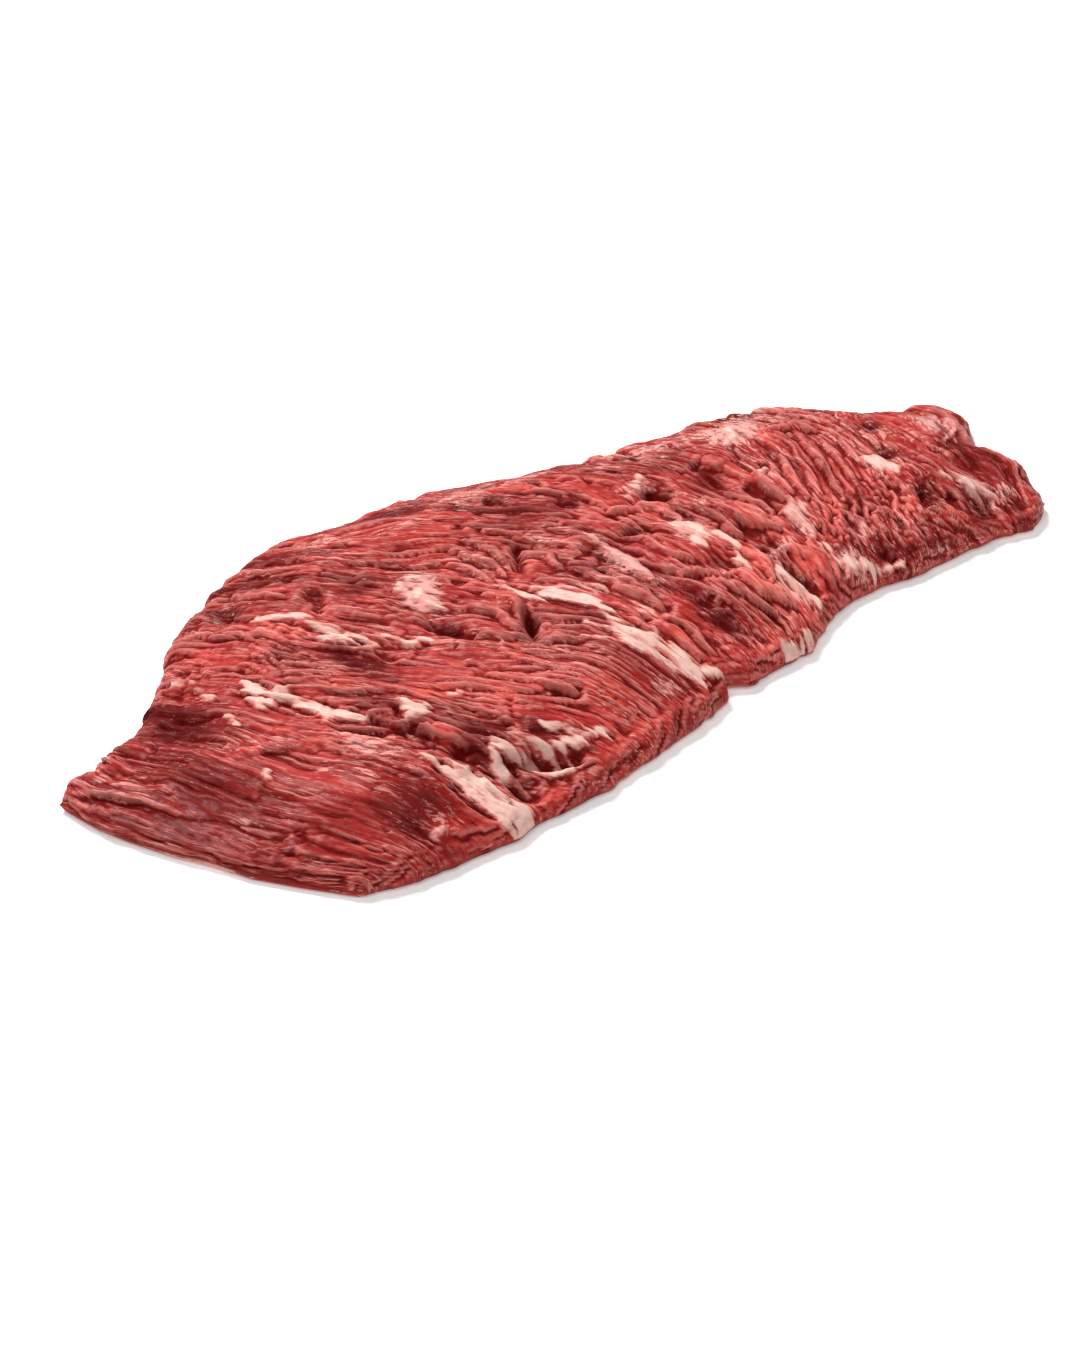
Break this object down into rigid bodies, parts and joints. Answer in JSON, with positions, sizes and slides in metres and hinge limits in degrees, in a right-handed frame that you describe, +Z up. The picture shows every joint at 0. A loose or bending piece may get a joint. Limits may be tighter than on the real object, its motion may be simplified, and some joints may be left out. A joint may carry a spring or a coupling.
{
  "type": "raw beef flank steak",
  "caption": "Whole raw flank steak: a flat, coarse-grained slab of beef that lies on its underside, with torn bundles, clefts and patches of surface fat.",
  "frame": {"origin": "on the resting plane, under the middle of the slab's box in plan", "axes": "+X along the slab to its narrow far end, +Y to the rounded back edge, +Z up through the thickness"},
  "size_m": [0.4012, 0.1868, 0.0247],
  "materials": {
    "meat": "moist raw meat, soft shine"
  },
  "bodies": {
    "root": {"steak": "meat"}
  },
  "joints": []
}
